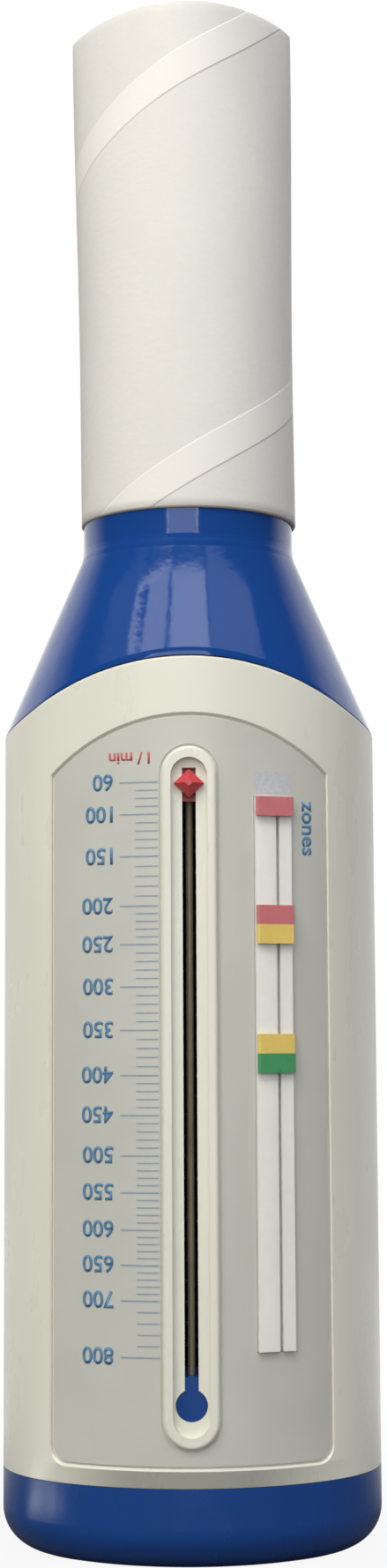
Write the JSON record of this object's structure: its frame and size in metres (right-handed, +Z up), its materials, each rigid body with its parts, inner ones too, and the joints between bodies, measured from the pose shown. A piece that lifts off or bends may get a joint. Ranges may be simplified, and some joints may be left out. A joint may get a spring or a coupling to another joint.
{
  "type": "peak flow meter",
  "caption": "Hand-held peak flow meter: oval body with a sliding pointer and zone markers beside a printed scale, sprung piston inside, and a paper mouthpiece tube.",
  "frame": {"origin": "centre of the flat foot under the end cap", "axes": "+Z up the body towards the mouthpiece, -Y out of the scale, +X to the right of the scale"},
  "size_m": [0.051, 0.0442, 0.2098],
  "materials": {
    "tube_paper": "uncoated spiral-wound paper",
    "body_blue": "glossy moulding",
    "cover_cream": "satin moulding",
    "label_grey": "printed panel",
    "cylinder_blue": "moulded",
    "inner_white": "moulded",
    "bush_natural": "turned",
    "seal_foam": "closed-cell",
    "stop_rubber": "soft",
    "steel": "drawn",
    "spring_steel": "drawn wire",
    "wire_dark": "oiled wire",
    "marker_red": "moulded",
    "slider_red": "moulded",
    "track_white": "moulded",
    "marker_yellow": "moulded",
    "marker_green": "moulded"
  },
  "bodies": {
    "housing": {"main_body": "body_blue", "front_cover": "cover_cream", "scale_label": "label_grey", "end_cap": "body_blue", "measuring_cylinder": "cylinder_blue", "inlet_spider": "inner_white", "cylinder_base": "inner_white", "cylinder_seal": "seal_foam", "guide_rod": "steel", "rod_clip": "steel", "bump_stop": "stop_rubber", "return_spring": "spring_steel", "pointer_guide_wire": "wire_dark", "zone_track": "track_white"},
    "mouthpiece": {"mouthpiece_tube": "tube_paper"},
    "piston": {"piston_disc": "inner_white", "piston_bush": "bush_natural", "piston_pusher": "inner_white", "pusher_rivet": "steel"},
    "pointer": {"pointer_head": "marker_red", "pointer_slider": "slider_red"},
    "marker_top": {"marker_red_top": "marker_red"},
    "marker_upper": {"marker_red_upper": "marker_red", "marker_yellow_upper": "marker_yellow"},
    "marker_lower": {"marker_yellow_lower": "marker_yellow", "marker_green_lower": "marker_green"}
  },
  "joints": [
    {"name": "mouthpiece_slide", "type": "slide", "parent": "housing", "child": "mouthpiece", "axis": [0, 0, 1], "range_m": [0, 0.025]},
    {"name": "piston_slide", "type": "slide", "parent": "housing", "child": "piston", "axis": [0, 0, -1], "range_m": [0, 0.0745], "stiffness_N_per_m": 5, "springref_m": -0.02, "deforming": ["return_spring"]},
    {"name": "pointer_slide", "type": "slide", "parent": "housing", "child": "pointer", "axis": [0, 0, -1], "range_m": [0, 0.0737]},
    {"name": "marker_top_slide", "type": "slide", "parent": "housing", "child": "marker_top", "axis": [0, 0, -1], "range_m": [0, 0.0115]},
    {"name": "marker_upper_slide", "type": "slide", "parent": "housing", "child": "marker_upper", "axis": [0, 0, -1], "range_m": [0, 0.0115]},
    {"name": "marker_lower_slide", "type": "slide", "parent": "housing", "child": "marker_lower", "axis": [0, 0, -1], "range_m": [0, 0.035]}
  ]
}
